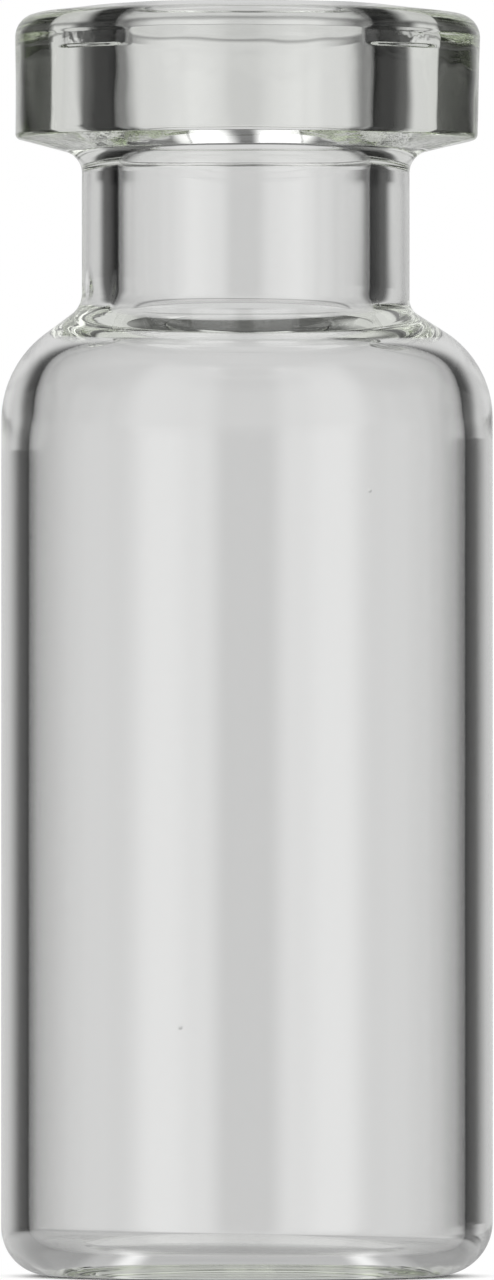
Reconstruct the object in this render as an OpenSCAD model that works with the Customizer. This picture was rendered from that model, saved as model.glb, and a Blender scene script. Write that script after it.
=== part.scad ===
// Glass sample vial with a crimp neck.
// One tube of clear glass, worked hot: one end is closed into a thick base, the other is
// drawn in to a neck, and its rim is pressed out into a flange that a crimp cap grips.
// Millimetres. The origin is the centre of the standing plane, and +Z is up.

/* [Body] */
// Outside diameter of the straight body
body_d = 11.6; // [9.6:0.1:16]
// Overall height, from the standing ring to the lip
total_h = 29.95; // [24:0.05:50]
// Glass thickness of the body wall
body_wall = 0.65; // [0.5:0.05:1]

/* [Base] */
// Glass thickness of the base
base_wall = 0.56; // [0.5:0.02:1.2]
// Outside rounding of the heel
heel_r = 1.2; // [0.8:0.1:1.6]
// Inside rounding of the heel
inner_heel_r = 0.6; // [0.5:0.1:1.6]
// Width of the ring that the vial stands on
ring_w = 0.8; // [0.5:0.1:1.5]
// Rise of the hollow inside that ring
hollow_h = 0.42; // [0.1:0.02:0.6]

/* [Shoulder] */
// Slope of the shoulder below the horizontal, in degrees
shoulder_slope = 34.5; // [28:0.5:40]
// Rounding from the body into the shoulder
shoulder_r = 2.5; // [1:0.1:3]
// Rounding from the shoulder into the neck
root_r = 0.5; // [0.3:0.1:0.8]
// Fall from the outside corner at the foot of the neck to the corner inside it
foot_wall = 0.52; // [0.4:0.02:0.9]
// Slope of the glass inside the shoulder below the horizontal, in degrees
inner_slope = 27; // [20:0.5:32]
// Rounding from the wall into the shoulder, inside
inner_shoulder_r = 1.95; // [1:0.05:2.1]

/* [Neck] */
// Outside diameter of the neck
neck_d = 7.7; // [6.6:0.1:9.4]
// Length of the neck, from the corner under the flange to the corner at the shoulder
neck_h = 3.42; // [2.4:0.02:6]
// Diameter of the bore through the flange and the neck
bore_d = 5.9; // [4.4:0.1:6]
// Rounding from the bore out into the shoulder, inside
bore_end_r = 1.4; // [0.6:0.05:1.5]

/* [Crimp flange] */
// Diameter of the flange
flange_d = 11; // [9.6:0.1:13]
// Height of the flange at its rim
rim_h = 2.9; // [2.4:0.05:4]
// Fall of the top face from the lip to the rim, in degrees
top_slope = 7.3; // [2:0.1:10]
// Rise of the under face from the neck to the rim, in degrees
under_slope = 16.7; // [4:0.1:22]
// Rounding of the rim's upper edge
upper_edge_r = 0.65; // [0.2:0.05:0.8]
// Rounding of the rim's lower edge
lower_edge_r = 0.2; // [0.1:0.05:0.5]
// Rounding in the corner between the flange and the neck
under_root_r = 0.35; // [0.15:0.05:0.6]
// Rounding of the lip at the mouth
lip_r = 0.15; // [0.1:0.01:0.3]

/* [Hidden] */
body_r = body_d / 2;
neck_r = neck_d / 2;
flange_r = flange_d / 2;
bore_r = bore_d / 2;
inner_r = body_r - body_wall;
// Outside corners, from the lip down. The lip's sharp corner stands above its rounding.
lip_z = total_h + lip_r * (tan(top_slope) + 1 / cos(top_slope) - 1);
rim_top_z = lip_z - (flange_r - bore_r) * tan(top_slope);
rim_low_z = rim_top_z - rim_h;
neck_top_z = rim_low_z - (flange_r - neck_r) * tan(under_slope);
neck_foot_z = neck_top_z - neck_h;
shoulder_z = neck_foot_z - (body_r - neck_r) * tan(shoulder_slope);
// Inside corners
bore_end_z = neck_foot_z - foot_wall;
inner_shoulder_z = bore_end_z - (inner_r - bore_r) * tan(inner_slope);
// The hollow under the base is a cap of a sphere, and the floor swells over it to keep
// the glass of the base one thickness.
hollow_r = body_r - heel_r - ring_w;
hollow_sphere_r = (pow(hollow_r, 2) + pow(hollow_h, 2)) / (2 * hollow_h);
hollow_centre_z = hollow_h - hollow_sphere_r;
// How much of an edge the roundings at its two ends may use up
edge_share = 0.98;
// How far a piece that is joined on or cut off reaches past the outline
overlap = 0.1;
// How far a rounding's arc bites into the edges that it runs into
bite = 0.0002;
GLASS = [0.86, 0.9, 0.88, 0.45];
$fn = 96;

// The glass cut through from the axis outwards, anticlockwise: [x, z, rounding].
// A rounding of 0 leaves the corner sharp.
SECTION = [
    [0, 0, 0],
    [body_r, 0, heel_r],
    [body_r, shoulder_z, shoulder_r],
    [neck_r, neck_foot_z, root_r],
    [neck_r, neck_top_z, under_root_r],
    [flange_r, rim_low_z, lower_edge_r],
    [flange_r, rim_top_z, upper_edge_r],
    [bore_r, lip_z, lip_r],
    [bore_r, bore_end_z, bore_end_r],
    [inner_r, inner_shoulder_z, inner_shoulder_r],
    [inner_r, base_wall, inner_heel_r],
    [0, base_wall, 0]
];

// Corner i of an outline, counted round and round.
function corner(list, i) = list[(i + len(list)) % len(list)];

// Position of corner i.
function place(list, i) = [corner(list, i)[0], corner(list, i)[1]];

// The way from corner i to the next.
function edge(list, i) = place(list, i + 1) - place(list, i);

// Above zero where the outline turns left and the glass bulges, below zero where it is hollow.
function turn(list, i) = cross(edge(list, i - 1), edge(list, i));

// Half of the angle that the outline turns through at corner i.
function half_turn(list, i) =
    let (a = edge(list, i - 1), b = edge(list, i))
    acos(a * b / (norm(a) * norm(b))) / 2;

// How far the rounding asked for at corner i reaches along its two edges.
function asked_reach(list, i) = corner(list, i)[2] * tan(half_turn(list, i));

// The share of the reach asked for at both its ends that edge i has room for.
function squeeze(list, i) =
    let (reach = asked_reach(list, i) + asked_reach(list, i + 1))
    let (room = edge_share * norm(edge(list, i)))
    reach > room ? room / reach : 1;

// The rounding that fits at corner i.
function rounding(list, i) =
    corner(list, i)[2] * min(squeeze(list, i - 1), squeeze(list, i));

// The point on the way from one place to another, at a given distance.
function towards(from, to, far) = from + (to - from) * far / norm(to - from);

// What lies between the sharp corner i and the arc that rounds it. The piece runs on past
// the outline, and its arc bites a hair into the edges, so that each crosses the other.
module corner_piece(list, i) {
    r = rounding(list, i);
    half = half_turn(list, i);
    tip = place(list, i);
    start = towards(tip, place(list, i - 1), r * tan(half));
    end = towards(tip, place(list, i + 1), r * tan(half));
    centre = towards(tip, (start + end) / 2, r / cos(half) - bite);
    past = (r + overlap) / r;
    translate(centre)
        difference() {
            polygon([[0, 0], past * (end - centre), past * (tip - centre), past * (start - centre)]);
            circle(r);
        }
}

// An outline with its corners rounded: the bulging ones are cut and the hollow ones filled.
module rounded_outline(list) {
    last = len(list) - 1;
    difference() {
        union() {
            polygon([for (i = [0 : last]) place(list, i)]);
            for (i = [0 : last])
                if (list[i][2] > 0 && turn(list, i) < 0) corner_piece(list, i);
        }
        for (i = [0 : last])
            if (list[i][2] > 0 && turn(list, i) > 0) corner_piece(list, i);
    }
}

// The part above height z of a circle that shares the hollow's centre.
module dome_cap(r, z) {
    intersection() {
        translate([0, hollow_centre_z]) circle(r);
        translate([0, z]) square(inner_r);
    }
}

// One tube of glass: its section turned about the axis of the vial.
module glass_vial() {
    color(GLASS)
        rotate_extrude()
            difference() {
                union() {
                    rounded_outline(SECTION);
                    dome_cap(hollow_sphere_r + base_wall, base_wall - overlap);
                }
                dome_cap(hollow_sphere_r, -overlap);
            }
}

glass_vial();
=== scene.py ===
import math

import bpy
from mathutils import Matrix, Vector


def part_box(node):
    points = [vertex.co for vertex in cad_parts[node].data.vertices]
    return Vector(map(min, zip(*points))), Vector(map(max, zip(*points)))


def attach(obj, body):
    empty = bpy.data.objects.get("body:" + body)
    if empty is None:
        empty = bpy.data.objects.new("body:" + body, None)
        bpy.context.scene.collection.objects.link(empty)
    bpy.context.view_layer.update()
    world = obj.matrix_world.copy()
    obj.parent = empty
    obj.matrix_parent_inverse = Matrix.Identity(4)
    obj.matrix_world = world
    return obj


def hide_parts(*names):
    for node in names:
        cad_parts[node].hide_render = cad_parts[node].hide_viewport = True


# A crimp-neck sample vial of clear glass, standing on a pale studio floor.
# Sizes are millimetres times mm, so everything in the scene is in metres.
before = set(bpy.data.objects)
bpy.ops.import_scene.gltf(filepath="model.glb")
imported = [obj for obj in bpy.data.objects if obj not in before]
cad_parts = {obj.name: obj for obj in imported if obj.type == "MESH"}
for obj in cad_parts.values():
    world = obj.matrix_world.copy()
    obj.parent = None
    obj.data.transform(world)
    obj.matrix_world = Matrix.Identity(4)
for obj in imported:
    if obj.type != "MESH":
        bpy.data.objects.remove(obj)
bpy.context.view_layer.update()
mm = 0.001
nodeName = "glass_vial"
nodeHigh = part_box(nodeName)[1]


# Node trees: Value wraps a socket, so that sums on it read as plain expressions
class Value:
    def __init__(self, graph, socket):
        self.graph = graph
        self.socket = socket

    def __add__(self, other):
        return self.graph.maths("ADD", self, other)

    def __radd__(self, other):
        return self.graph.maths("ADD", other, self)

    def __sub__(self, other):
        return self.graph.maths("SUBTRACT", self, other)

    def __rsub__(self, other):
        return self.graph.maths("SUBTRACT", other, self)

    def __mul__(self, other):
        return self.graph.maths("MULTIPLY", self, other)

    def __rmul__(self, other):
        return self.graph.maths("MULTIPLY", other, self)

    def __truediv__(self, other):
        return self.graph.maths("DIVIDE", self, other)

    def __rtruediv__(self, other):
        return self.graph.maths("DIVIDE", other, self)

    # 0 below start, 1 above end and a smooth step between them
    def ramp(self, start, end):
        limits = {"Value": self, "From Min": start, "From Max": end}
        smooth = {"interpolation_type": "SMOOTHSTEP"}
        return self.graph.add("ShaderNodeMapRange", smooth, limits)["Result"]

    # 1 inside the band from start to end, with edges of the given softness
    def band(self, start, end, soft):
        return self.ramp(start - soft, start + soft) * (1 - self.ramp(end - soft, end + soft))


class Built:
    def __init__(self, graph, node):
        self.graph = graph
        self.node = node

    def __getitem__(self, name):
        return Value(self.graph, self.node.outputs[name])


class Graph:
    def __init__(self, tree):
        self.tree = tree
        tree.nodes.clear()

    # One node: its settings come first, then the values or links of its sockets
    def add(self, kind, settings=None, values=None):
        node = self.tree.nodes.new(kind)
        for name, setting in (settings or {}).items():
            setattr(node, name, setting)
        for name, value in (values or {}).items():
            if isinstance(value, Value):
                self.tree.links.new(value.socket, node.inputs[name])
            else:
                node.inputs[name].default_value = value
        return Built(self, node)

    def maths(self, operation, *terms):
        return self.add("ShaderNodeMath", {"operation": operation}, dict(enumerate(terms)))["Value"]


# The section of the glass, from the axis under the base, up the outside and down the inside.
# Its shoulder and neck were worked by hand, so the left and the right side differ a little.
vial = dict(
    bodyRadius=nodeHigh.x,
    height=nodeHigh.z,
    bodyWall=0.645 * mm,
    baseWall=0.56 * mm,
    heel=1.2 * mm,
    innerHeel=0.6 * mm,
    ringWidth=0.8 * mm,
    hollow=0.42 * mm,
    shoulderSlope=math.radians(34.5),
    shoulder=2.5 * mm,
    root=0.5 * mm,
    neckRadius=3.87 * mm,
    neckFoot=22.82 * mm,
    throat=23.36 * mm,  # where the bore starts to open out
    throatPull=2.12 * mm,  # how far the bore's line is drawn on down
    wallTop=19.6 * mm,  # where the inside of the body starts to close in
    wallPull=3.25 * mm,  # how far the wall's line is drawn on up
    boreRadius=2.95 * mm,
    mouthRadius=3.05 * mm,
    flangeRadius=5.5 * mm,
    flangeFootRadius=5.47 * mm,
    rimHeight=2.9 * mm,
    topSlope=math.radians(6.9),
    underSlope=math.radians(13.8),
    upperEdge=0.57 * mm,
    lowerEdge=0.14 * mm,
    underRoot=0.55 * mm,
    lip=0.5 * mm,
    boreStep=26.9 * mm,  # below this the bore eases in a little
    boreEase=0.7 * mm,
    boreBend=4.0 * mm,
    turns=240,  # steps round the axis
    capSteps=22,
    curveSteps=48,
    weld=0.0001 * mm,
    bodyWave=0.002 * mm,  # how far the drawn glass wanders from round
    flangeWave=0.035 * mm,  # the pressed flange wanders more
    waveStart=4.1 * mm,  # this far below the mouth the one starts to turn into the other, over wavePass
    wavePass=1.0 * mm,
    waveSize=1.6 * mm,
    waveSeed=7.0,
)
leftSide = dict(
    neckRadius=3.9 * mm,
    boreRadius=3.03 * mm,
    mouthRadius=3.1 * mm,
    flangeRadius=5.49 * mm,
    flangeFootRadius=5.48 * mm,
    underSlope=math.radians(14.6),
    heel=1.13 * mm,
    shoulderSlope=math.radians(36.7),
    shoulder=2.53 * mm,
    root=0.62 * mm,
    neckFoot=22.86 * mm,
    throat=23.5 * mm,
    throatPull=2.32 * mm,
    wallTop=19.45 * mm,
    wallPull=3.48 * mm,
)
rightSide = dict(
    neckRadius=3.84 * mm,
    boreRadius=2.92 * mm,
    mouthRadius=3.0 * mm,
    flangeRadius=5.53 * mm,
    flangeFootRadius=5.46 * mm,
    underSlope=math.radians(13.2),
    heel=1.27 * mm,
    shoulderSlope=math.radians(32.5),
    shoulder=2.41 * mm,
    root=0.42 * mm,
    neckFoot=22.79 * mm,
    throat=23.23 * mm,
    throatPull=1.93 * mm,
    wallTop=19.75 * mm,
    wallPull=3.02 * mm,
)


# Shares of a straight stretch, closer together near its ends
def easedShares(count):
    return [0.5 - 0.5 * math.cos(math.pi * k / count) for k in range(1, count)]


def roundedCorner(before, corner, after, radius, count):
    toBefore = (before - corner).normalized()
    toAfter = (after - corner).normalized()
    opening = toBefore.angle(toAfter)
    centre = corner + (toBefore + toAfter).normalized() * radius / math.sin(opening / 2)
    reach = radius / math.tan(opening / 2)
    start = corner + toBefore * reach - centre
    turn = start.angle_signed(corner + toAfter * reach - centre)
    points = []
    for k in range(count + 1):
        angle = -turn * k / count
        spun = Vector((start.x * math.cos(angle) - start.y * math.sin(angle),
                       start.x * math.sin(angle) + start.y * math.cos(angle)))
        points.append(centre + spun)
    return points


# Points along corners (radius, height, rounding, steps on the way there, steps round the corner).
# A corner with no rounding stays one point.
def roundedOutline(corners):
    places = [Vector(c[:2]) for c in corners]
    outline = [places[0]]
    for i in range(1, len(corners)):
        rounding, steps, arcSteps = corners[i][2:]
        arc = [places[i]]
        if rounding > 0:
            arc = roundedCorner(places[i - 1], places[i], places[i + 1], rounding, arcSteps)
        start = outline[-1]
        way = arc[0] - start
        outline += [start + way * share for share in easedShares(steps)]
        outline += arc
    return outline


# A shallow spherical cap from the axis out to its edge
def cap(radius, centreHeight, edge):
    count = vial["capSteps"]
    radii = [edge * math.sin(math.pi / 2 * k / count) for k in range(count + 1)]
    return [Vector((r, centreHeight + math.sqrt(radius ** 2 - r ** 2))) for r in radii]


# The smooth line that glass takes inside the shoulder, leaving both its ends straight
def drawnCurve(start, startPull, end, endPull):
    count = vial["curveSteps"]
    curve = []
    for k in range(1, count):
        t = k / count
        far = 1 - t
        point = start * far ** 3 + startPull * 3 * t * far ** 2
        point = point + endPull * 3 * t ** 2 * far
        curve.append(point + end * t ** 3)
    return curve


def sectionOfGlass(v):
    lipCorner = v["height"] + v["lip"] * (math.tan(v["topSlope"]) + 1 / math.cos(v["topSlope"]) - 1)
    rimTop = lipCorner - (v["flangeRadius"] - v["mouthRadius"]) * math.tan(v["topSlope"])
    rimLow = rimTop - v["rimHeight"]
    neckTop = rimLow - (v["flangeFootRadius"] - v["neckRadius"]) * math.tan(v["underSlope"])
    shoulderTop = v["neckFoot"] - (v["bodyRadius"] - v["neckRadius"]) * math.tan(v["shoulderSlope"])
    inner = v["bodyRadius"] - v["bodyWall"]
    ringInner = v["bodyRadius"] - v["heel"] - v["ringWidth"]
    sphere = (ringInner ** 2 + v["hollow"] ** 2) / (2 * v["hollow"])
    sphereCentre = v["hollow"] - sphere
    floorSphere = sphere + v["baseWall"]
    floorEdge = math.sqrt(floorSphere ** 2 - (v["baseWall"] - sphereCentre) ** 2)
    outside = [
        (ringInner, 0, 0, 0, 0),
        (v["bodyRadius"], 0, v["heel"], 6, 18),
        (v["bodyRadius"], shoulderTop, v["shoulder"], 30, 18),
        (v["neckRadius"], v["neckFoot"], v["root"], 8, 14),
        (v["neckRadius"], neckTop, v["underRoot"], 14, 14),
        (v["flangeFootRadius"], rimLow, v["lowerEdge"], 10, 12),
        (v["flangeRadius"], rimTop, v["upperEdge"], 16, 18),
        (v["mouthRadius"], lipCorner, v["lip"], 16, 16),
        (v["mouthRadius"], v["boreStep"], v["boreBend"], 14, 6),
        (v["boreRadius"], v["boreStep"] - v["boreEase"], v["boreBend"], 4, 6),
        (v["boreRadius"], v["throat"], 0, 16, 0),
    ]
    inside = [
        (inner, v["wallTop"], 0, 0, 0),
        (inner, v["baseWall"], v["innerHeel"], 30, 18),
        (floorEdge, v["baseWall"], 0, 6, 0),
    ]
    boreEnd = Vector((v["boreRadius"], v["throat"]))
    wallEnd = Vector((inner, v["wallTop"]))
    boreWay = boreEnd - Vector((0, v["throatPull"]))
    wallWay = wallEnd + Vector((0, v["wallPull"]))
    drawn = drawnCurve(boreEnd, boreWay, wallEnd, wallWay)
    under = cap(sphere, sphereCentre, ringInner)
    floor = cap(floorSphere, sphereCentre, floorEdge)
    return under[:-1] + roundedOutline(outside) + drawn + roundedOutline(inside) + floor[-2::-1]


# The right side's section as a line of edges. Each point knows how far off the left side's
# point lies, and how uneven the glass is there.
def sectionObject(right, left):
    mesh = bpy.data.meshes.new(nodeName)
    edges = [(i, i + 1) for i in range(len(right) - 1)]
    mesh.from_pydata([(p.x, 0, p.y) for p in right], edges, [])
    lean = mesh.attributes.new("lean", "FLOAT_VECTOR", "POINT")
    for i in range(len(right)):
        off = left[i] - right[i]
        lean.data[i].vector = (off.x, 0, off.y)
    flangeFoot = vial["height"] - vial["waveStart"]
    wave = mesh.attributes.new("wave", "FLOAT", "POINT")
    for i in range(len(right)):
        share = min(max((right[i].y - flangeFoot) / vial["wavePass"], 0), 1)
        wave.data[i].value = vial["bodyWave"] + (vial["flangeWave"] - vial["bodyWave"]) * share
    made = bpy.data.objects.new("vial", mesh)
    bpy.context.scene.collection.objects.link(made)
    return made


# Geometry Nodes: turns the section into the vial
def lathe(name):
    tree = bpy.data.node_groups.new(name, "GeometryNodeTree")
    graph = Graph(tree)
    sockets = {
        "Geometry": "NodeSocketGeometry",
        "Turns": "NodeSocketInt",
        "Weld": "NodeSocketFloat",
        "Material": "NodeSocketMaterial",
        "Wave Size": "NodeSocketFloat",
        "Wave Seed": "NodeSocketFloat",
    }
    for label, kind in sockets.items():
        tree.interface.new_socket(label, in_out="INPUT", socket_type=kind)
    tree.interface.new_socket("Geometry", in_out="OUTPUT", socket_type="NodeSocketGeometry")
    given = graph.add("NodeGroupInput")
    section = given["Geometry"]
    size = graph.add("GeometryNodeAttributeDomainSize", {"component": "MESH"}, {"Geometry": section})
    rows = size["Point Count"]
    corners = {"Vertices X": given["Turns"] + 1, "Vertices Y": rows}
    grid = graph.add("GeometryNodeMeshGrid", None, corners)["Mesh"]
    index = graph.add("GeometryNodeInputIndex")["Index"]
    row = graph.maths("FLOORED_MODULO", index, rows)
    column = graph.maths("FLOOR", (index + 0.5) / rows)
    vector = {"data_type": "FLOAT_VECTOR"}
    number = {"data_type": "FLOAT"}

    # What the section holds at this row
    def fromSection(kind, value):
        values = {"Geometry": section, "Value": value, "Index": row}
        return graph.add("GeometryNodeSampleIndex", kind, values)["Value"]

    def attribute(kind, label):
        return graph.add("GeometryNodeInputNamedAttribute", kind, {"Name": label})["Attribute"]

    place = graph.add("GeometryNodeInputPosition")["Position"]
    wave = attribute(number, "wave")
    parts = graph.add("ShaderNodeSeparateXYZ", None, {0: fromSection(vector, place)})
    offParts = graph.add("ShaderNodeSeparateXYZ", None, {0: fromSection(vector, attribute(vector, "lean"))})
    angle = column / given["Turns"] * math.tau
    leftShare = 0.5 - 0.5 * graph.maths("COSINE", angle)
    radius = parts["X"] + offParts["X"] * leftShare
    height = parts["Z"] + offParts["Z"] * leftShare
    across = radius * graph.maths("COSINE", angle)
    depth = radius * graph.maths("SINE", angle)
    spot = graph.add("ShaderNodeCombineXYZ", None, {"X": across, "Y": depth, "Z": height})["Vector"]
    turned = graph.add("GeometryNodeSetPosition", None, {"Geometry": grid, "Position": spot})["Geometry"]
    waveMark = {"Geometry": turned, "Name": "wave", "Value": fromSection(number, wave)}
    marked = graph.add("GeometryNodeStoreNamedAttribute", number, waveMark)["Geometry"]
    nearby = {"Geometry": marked, "Distance": given["Weld"]}
    welded = graph.add("GeometryNodeMergeByDistance", None, nearby)["Geometry"]
    unevenness = {"Vector": place, "W": given["Wave Seed"], "Scale": 1 / given["Wave Size"], "Detail": 1.0}
    noise = graph.add("ShaderNodeTexNoise", {"noise_dimensions": "4D"}, unevenness)["Fac"]
    normal = graph.add("GeometryNodeInputNormal")["Normal"]
    inward = {0: normal, "Scale": noise * wave * -1}
    push = graph.add("ShaderNodeVectorMath", {"operation": "SCALE"}, inward)["Vector"]
    waved = graph.add("GeometryNodeSetPosition", None, {"Geometry": welded, "Offset": push})["Geometry"]
    shading = {"Geometry": waved, "Shade Smooth": True}
    smooth = graph.add("GeometryNodeSetShadeSmooth", None, shading)["Geometry"]
    whole = graph.add("GeometryNodeRealizeInstances", None, {"Geometry": smooth})["Geometry"]
    finish = {"Geometry": whole, "Material": given["Material"]}
    clad = graph.add("GeometryNodeSetMaterial", None, finish)["Geometry"]
    graph.add("NodeGroupOutput", None, {"Geometry": clad})
    return tree


def turnedVial(material):
    right = sectionOfGlass(vial | rightSide)
    left = sectionOfGlass(vial | leftSide)
    section = sectionObject(right, left)
    section.data.materials.append(material)
    modifier = section.modifiers.new("lathe", "NODES")
    modifier.node_group = lathe("Lathe the vial")
    sizes = {
        "Turns": vial["turns"],
        "Weld": vial["weld"],
        "Material": material,
        "Wave Size": vial["waveSize"],
        "Wave Seed": vial["waveSeed"],
    }
    for item in modifier.node_group.interface.items_tree:
        if item.in_out == "INPUT" and item.name in sizes:
            modifier[item.identifier] = sizes[item.name]
    bpy.context.view_layer.update()
    shapes = bpy.context.evaluated_depsgraph_get()
    plain = bpy.data.meshes.new_from_object(section.evaluated_get(shapes), depsgraph=shapes)
    section.modifiers.remove(modifier)
    section.data = plain
    print("vial:", len(right), "points in the section,", len(plain.polygons), "faces")
    return section


# Clear glass, faintly green through its thickness. The rolled flange keeps the marks of its
# tools: a crinkled ring under its top edge and a rough underside.
glass = dict(
    ior=1.5,
    tint=(0.93, 1.0, 0.8, 1),
    density=28.0,
    crinkleSize=0.45 * mm,
    crinkleDepth=0.03 * mm,
    ringLow=28.85 * mm,
    ringHigh=29.22 * mm,
    ringRadius=5.0 * mm,
    ringAside=2.9 * mm,  # the tools pressed it on both sides of the front
    ringFar=4.3 * mm,
    ringSoft=0.25 * mm,
    ridgeDepth=0.028 * mm,
    underDepth=0.035 * mm,
    underLow=26.3 * mm,
    underHigh=26.82 * mm,
    underRadius=4.3 * mm,
    underAside=1.7 * mm,  # the underside is clean at its middle
    underFar=2.5 * mm,
    edge=0.06 * mm,
    flaw=(-3.7 * mm, -1.2 * mm, 23.35 * mm),  # a scuff beside the foot of the neck
    flawReach=0.42 * mm,
    flawDepth=0.035 * mm,
    specks=[  # small pits in its surface
        (2.87 * mm, -5.04 * mm, 18.41 * mm),
        (-1.55 * mm, -5.59 * mm, 5.9 * mm),
        (3.79 * mm, -0.9 * mm, 23.1 * mm),
    ],
    speckReach=0.07 * mm,
    speckDepth=0.02 * mm,
    streakSize=2.5 * mm,
    streakDepth=0.001 * mm,
    streakLength=6.0,
    bounces=40,  # a ray crosses many walls before it leaves
)


def glassMaterial():
    material = bpy.data.materials.new("clear glass")
    material.use_nodes = True
    graph = Graph(material.node_tree)
    place = graph.add("ShaderNodeTexCoord")["Object"]
    parts = graph.add("ShaderNodeSeparateXYZ", None, {0: place})
    height = parts["Z"]
    radius = graph.maths("SQRT", parts["X"] * parts["X"] + parts["Y"] * parts["Y"])
    fine = {"Vector": place, "Scale": 1 / glass["crinkleSize"], "Detail": 2.0}
    crinkle = graph.add("ShaderNodeTexNoise", None, fine)["Fac"]
    ring = height.band(glass["ringLow"], glass["ringHigh"], glass["edge"]) * radius.ramp(
        glass["ringRadius"] - glass["edge"], glass["ringRadius"])
    aside = graph.maths("ABSOLUTE", parts["X"])
    ring = ring * aside.band(glass["ringAside"], glass["ringFar"], glass["ringSoft"])
    ring = ring * (1 - parts["Y"].ramp(-glass["ringSoft"], glass["ringSoft"]))
    under = height.band(glass["underLow"], glass["underHigh"], glass["edge"]) * radius.ramp(
        glass["underRadius"] - glass["edge"], glass["underRadius"])
    under = under * aside.ramp(glass["underAside"], glass["underFar"])
    ends = {0: place, 1: glass["flaw"]}
    fromFlaw = graph.add("ShaderNodeVectorMath", {"operation": "DISTANCE"}, ends)["Value"]
    scuff = 1 - fromFlaw.ramp(0.0, glass["flawReach"])
    stretch = {0: place, 1: (1, 1, 1 / glass["streakLength"])}
    long = graph.add("ShaderNodeVectorMath", {"operation": "MULTIPLY"}, stretch)["Vector"]
    broad = {"Vector": long, "Scale": 1 / glass["streakSize"], "Detail": 1.0}
    streak = graph.add("ShaderNodeTexNoise", None, broad)["Fac"]
    depth = ring * glass["crinkleDepth"] + under * glass["underDepth"] + scuff * glass["flawDepth"]
    bumps = crinkle * depth
    bumps = bumps + ring * glass["ridgeDepth"]
    for speck in glass["specks"]:
        reach = {0: place, 1: speck}
        off = graph.add("ShaderNodeVectorMath", {"operation": "DISTANCE"}, reach)["Value"]
        bumps = bumps - (1 - off.ramp(0.0, glass["speckReach"])) * glass["speckDepth"]
    bumps = bumps + streak * glass["streakDepth"]
    normal = graph.add("ShaderNodeBump", None, {"Height": bumps, "Distance": 1.0})["Normal"]
    clear = {
        "Base Color": (1, 1, 1, 1),
        "Roughness": 0.0,
        "IOR": glass["ior"],
        "Transmission Weight": 1.0,
        "Normal": normal,
    }
    body = graph.add("ShaderNodeBsdfPrincipled", None, clear)
    tinge = {"Color": glass["tint"], "Density": glass["density"]}
    tinted = graph.add("ShaderNodeVolumeAbsorption", None, tinge)
    graph.add("ShaderNodeOutputMaterial", None, {"Surface": body["BSDF"], "Volume": tinted["Volume"]})
    return material


# The floor: white and matt near the vial, lost in the white surround further out.
# The glass shows it greyer, as it shows the rest of the studio, as an emission of painted light and shade.
floor = dict(
    reach=2.0,
    drop=0.02 * mm,
    paint=(1, 1, 1, 1),
    aroundLevel=0.33,
    aroundSwing=0.25,  # painted light behind the vial and painted shade in front of it
    ringLevel=0.5,  # painted light under the ring that the vial stands on
    # a painted shadow under the vial's hollow
    hollowLevel=0.28,
    ringInner=3.9 * mm,
    ringOuter=5.6 * mm,
    ringSoft=0.3 * mm,
    spotLevel=0.95,  # and painted brightest in two spots
    spotStart=2.5 * mm,
    spotEnd=3.0 * mm,
    spotSoft=0.25 * mm,
    endStart=3.8 * mm,  # while painted shade dims it further aside
    endLevel=0.33,
    shadowStart=4.6 * mm,  # the camera sees the shadow go from here
    shadowEnd=6.2 * mm,
    fadeStart=8 * mm,
    fadeEnd=16 * mm,
)


def floorMaterial():
    material = bpy.data.materials.new("pale floor")
    material.use_nodes = True
    graph = Graph(material.node_tree)
    place = graph.add("ShaderNodeTexCoord")["Object"]
    away = graph.add("ShaderNodeVectorMath", {"operation": "LENGTH"}, {0: place})["Value"]
    path = graph.add("ShaderNodeLightPath")
    seen = path["Is Camera Ray"]
    glassRay = graph.maths("MAXIMUM", path["Is Glossy Ray"], path["Is Transmission Ray"])
    fade = away.ramp(floor["fadeStart"], floor["fadeEnd"])
    fade = fade + (away.ramp(floor["shadowStart"], floor["shadowEnd"]) - fade) * seen
    parts = graph.add("ShaderNodeSeparateXYZ", None, {0: place})
    aside = graph.maths("ABSOLUTE", parts["X"])
    soft = floor["ringSoft"]
    # What the glass sees of the floor is an emission of painted light and shade: a painted shadow under the
    # hollow, painted light under the ring and most in two spots, painted shade further aside, and lighter
    # behind the vial than in front.
    paintedAround = floor["aroundLevel"] + floor["aroundSwing"] * parts["Y"] / (away + soft)
    spot = aside.band(floor["spotStart"], floor["spotEnd"], floor["spotSoft"])
    end = aside.ramp(floor["endStart"] - soft, floor["endStart"] + soft)
    ringLevel = floor["ringLevel"] + (floor["spotLevel"] - floor["ringLevel"]) * spot
    ringLevel = ringLevel + (floor["endLevel"] - floor["ringLevel"]) * end
    ring = away.band(floor["ringInner"], floor["ringOuter"], soft)
    # where the painted shadow under the vial's hollow lies
    hollow = 1 - away.ramp(floor["ringInner"] - soft, floor["ringInner"] + soft)
    level = paintedAround + (ringLevel - paintedAround) * ring
    level = level + (floor["hollowLevel"] - paintedAround) * hollow
    paintedGrey = graph.add("ShaderNodeCombineColor", None, {0: level, 1: level, 2: level})["Color"]
    paintedLightShown = graph.add("ShaderNodeEmission", None, {"Color": paintedGrey, "Strength": 1.0})["Emission"]
    matt = graph.add("ShaderNodeBsdfDiffuse", None, {"Color": floor["paint"]})["BSDF"]
    near = graph.add("ShaderNodeMixShader", None, {0: glassRay, 1: matt, 2: paintedLightShown})["Shader"]
    white = graph.add("ShaderNodeEmission", None, {"Color": (1, 1, 1, 1), "Strength": 1.0})["Emission"]
    below = graph.add("ShaderNodeBsdfTransparent")["BSDF"]
    far = graph.add("ShaderNodeMixShader", None, {0: seen, 1: below, 2: white})["Shader"]
    whole = graph.add("ShaderNodeMixShader", None, {0: fade, 1: near, 2: far})["Shader"]
    graph.add("ShaderNodeOutputMaterial", None, {"Surface": whole})
    return material


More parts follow.
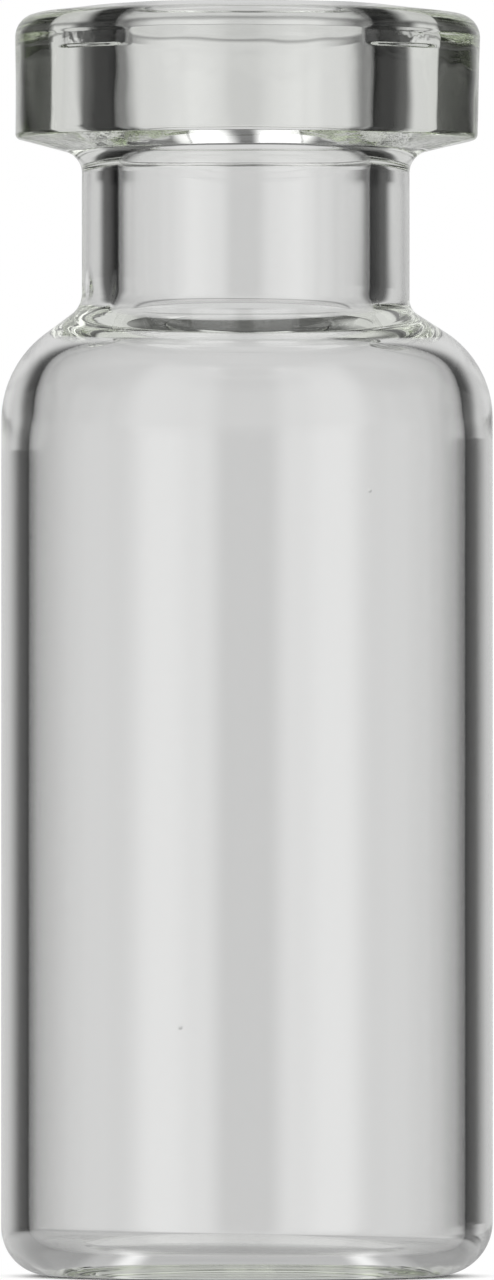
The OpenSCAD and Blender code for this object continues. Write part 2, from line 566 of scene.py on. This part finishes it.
def makeFloor():
    reach = floor["reach"]
    low = -floor["drop"]
    corners = [(-reach, -reach, low), (reach, -reach, low), (reach, reach, low), (-reach, reach, low)]
    mesh = bpy.data.meshes.new("floor")
    mesh.from_pydata(corners, [], [(0, 1, 2, 3)])
    made = bpy.data.objects.new("floor", mesh)
    made.data.materials.append(floorMaterial())
    bpy.context.scene.collection.objects.link(made)


# What stands round the vial, by direction in degrees: 0 is straight behind it, + is to the right
# and upwards. Each panel is its start, end, softness, foot, top, softness and brightness, and it
# covers the ones before it.
studio = dict(
    dark=0.005,
    panels=[
        (-200, 200, 1, -200, -7, 5, 0.62),  # the table
        (-100, -34, 12, -200, -7, 5, 0.26),  # and the flags' shade on it
        (34, 100, 12, -200, -7, 5, 0.26),
        (-80, -44, 8, -46, -4, 5, 0.01),
        (44, 80, 8, -46, -4, 5, 0.01),
        (-200, 200, 1, 22, 200, 8, 0.1),  # the upper room
        (-200, 200, 1, 70, 200, 10, 0.2),  # and its ceiling
        (-77, 75, 4, -7, 38, 6, 0.005),  # the flags
        (-47, 47, 8, -7, 42, 6, 0.07),  # the backdrop's glow on the flags
        (-24.5, 22.5, 11, -7, 48, 4, 0.68),  # the backdrop
        (-30, 30, 9, 1.8, 44, 0.6, 0.68),  # and its wider top
        (-48, -6, 4, 61, 71, 2, 1.5),  # the lamps over it
        (6, 48, 4, 61, 71, 2, 1.5),
        (-112, -78, 4, -7, 22, 6, 0.48),  # the walls
        (76, 112, 4, -7, 22, 6, 0.48),
        (-164, -118, 7, -7, 52, 6, 0.95),  # the softboxes on either side of the camera
        (118, 164, 7, -7, 52, 6, 0.95),
        (-147, -124, 6, -7, 42, 6, 1.15),  # and their bright middles
        (124, 147, 6, -7, 42, 6, 1.35),
    ],
    plainLight=1.0,
)


def makeWorld():
    world = bpy.data.worlds.new("studio")
    world.use_nodes = True
    world.cycles.sampling_method = "NONE"
    graph = Graph(world.node_tree)
    way = graph.add("ShaderNodeTexCoord")["Generated"]
    parts = graph.add("ShaderNodeSeparateXYZ", None, {0: way})
    turn = graph.maths("ARCTAN2", parts["X"], parts["Y"]) * math.degrees(1)
    lift = graph.maths("ARCSINE", parts["Z"]) * math.degrees(1)
    level = studio["dark"]
    for start, end, soft, foot, top, softLift, strength in studio["panels"]:
        cover = turn.band(start, end, soft) * lift.band(foot, top, softLift)
        level = level + (strength - level) * cover
    path = graph.add("ShaderNodeLightPath")
    level = level + (studio["plainLight"] - level) * path["Is Diffuse Ray"]
    level = level + (1 - level) * path["Is Camera Ray"]
    shine = {"Color": (1, 1, 1, 1), "Strength": level}
    light = graph.add("ShaderNodeBackground", None, shine)["Background"]
    graph.add("ShaderNodeOutputWorld", None, {"Surface": light})
    bpy.context.scene.world = world


# The camera stands well back and a little above the floor
camera = dict(distance=400 * mm, height=9.44 * mm, aim=14.987 * mm, framed=30.21 * mm, sensor=36)


def makeCamera():
    data = bpy.data.cameras.new("camera")
    data.sensor_width = camera["sensor"]
    data.lens = camera["sensor"] * camera["distance"] / camera["framed"]
    made = bpy.data.objects.new("camera", data)
    made.location = (0, -camera["distance"], camera["height"])
    gaze = Vector((0, 0, camera["aim"])) - made.location
    made.rotation_euler = gaze.to_track_quat("-Z", "Y").to_euler()
    bpy.context.scene.collection.objects.link(made)
    bpy.context.scene.camera = made


makeCamera()
makeWorld()
makeFloor()
print("studio ready")
shell = turnedVial(glassMaterial())
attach(shell, "root")
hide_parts(nodeName)

scene = bpy.context.scene
scene.view_settings.view_transform = "Standard"
scene.cycles.max_bounces = glass["bounces"]
scene.cycles.transmission_bounces = glass["bounces"]
scene.cycles.glossy_bounces = glass["bounces"]
